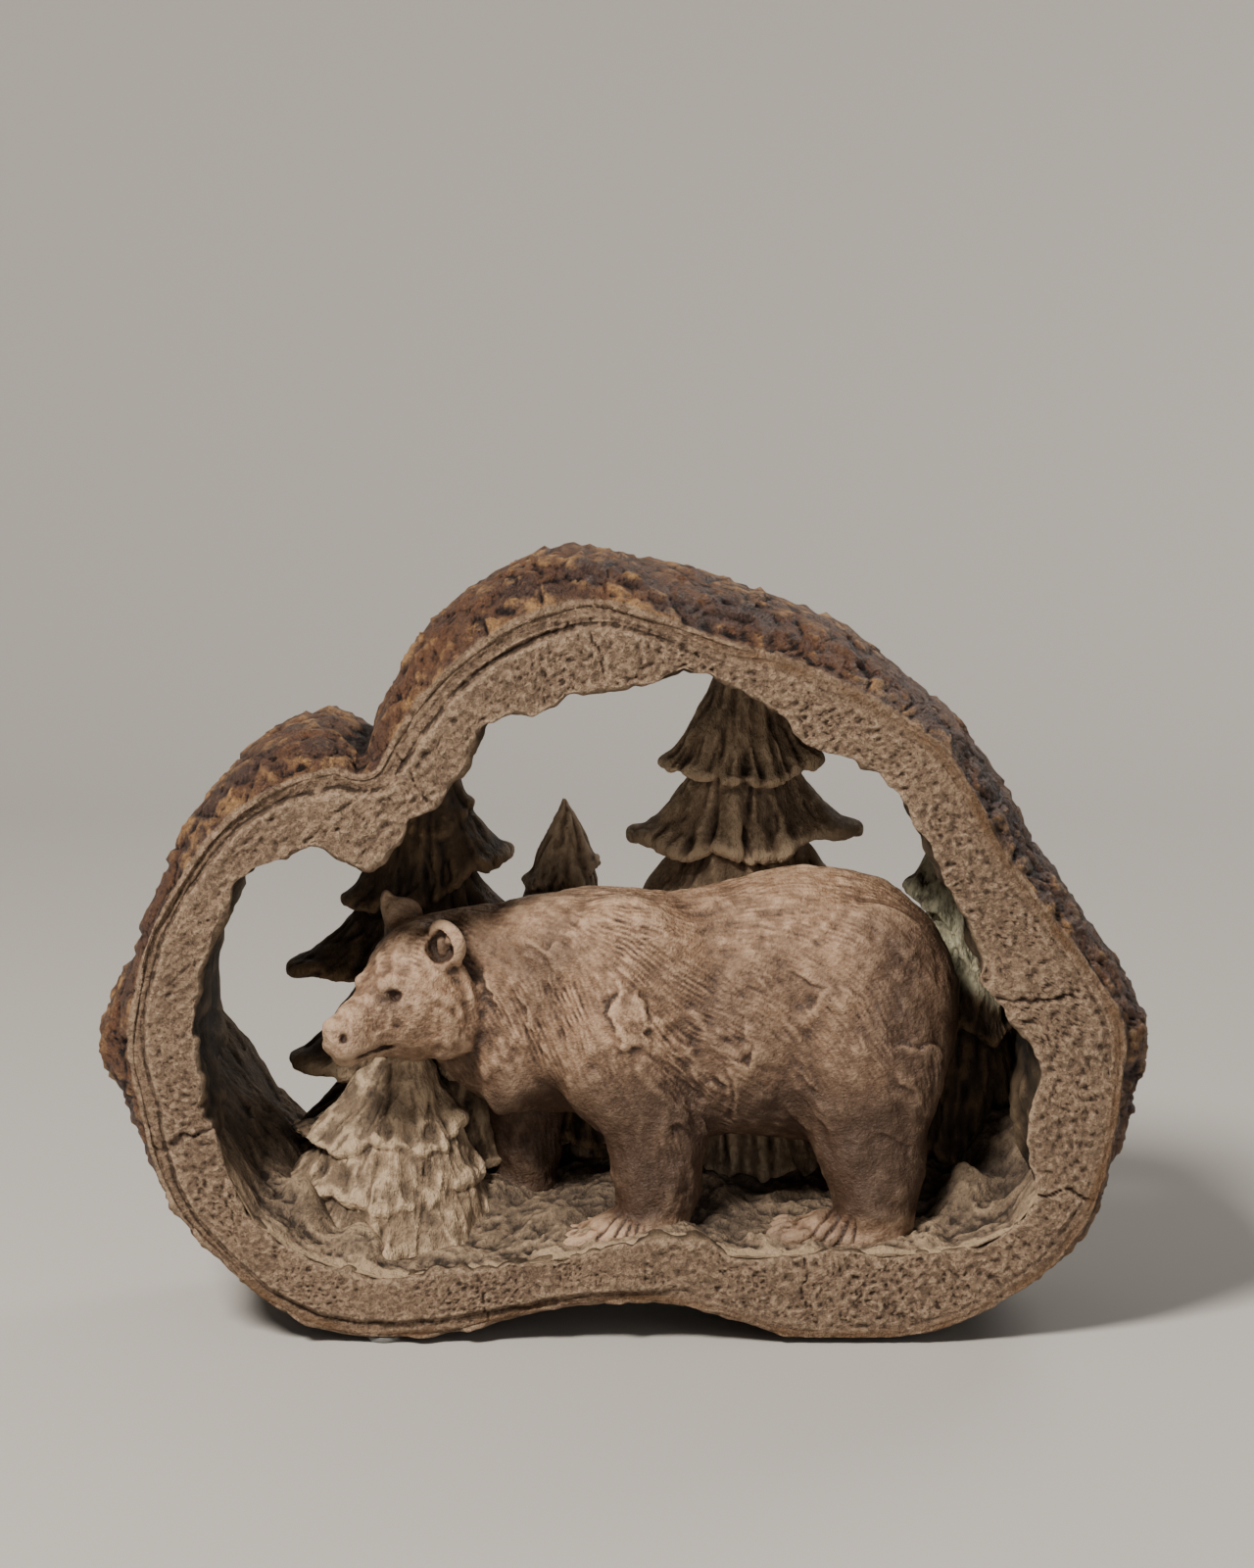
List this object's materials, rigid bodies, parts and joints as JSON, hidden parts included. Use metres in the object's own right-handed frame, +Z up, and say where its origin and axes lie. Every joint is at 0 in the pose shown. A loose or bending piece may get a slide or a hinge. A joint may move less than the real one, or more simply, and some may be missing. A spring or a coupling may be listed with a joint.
{
  "type": "hollow log ornament with a carved-look bear",
  "caption": "Mantel ornament cast in resin: a hollow log slice stood on edge, with a carved-look bear walking past drooping conifers inside it, on clear bumper pads.",
  "frame": {"origin": "on the surface the ornament stands on, under the middle of its box", "axes": "+X to the right seen from the front, towards the bear's rump; +Y from the front cut of the log to the back cut; +Z up"},
  "size_m": [0.3391, 0.094, 0.2539],
  "materials": {
    "painted_resin": "cast polyresin painted in earth washes: pale tan cut faces, dark brown bark with ochre rubbed on its crests, warm brown bear, matt with a faint sheen on the bark",
    "clear_pad": "clear soft vinyl with a dull gloss"
  },
  "bodies": {
    "root": {"log_and_bear_carving": "painted_resin", "bumper_pad_front_left": "clear_pad", "bumper_pad_back_left": "clear_pad", "bumper_pad_front_right": "clear_pad", "bumper_pad_back_right": "clear_pad"}
  },
  "joints": []
}
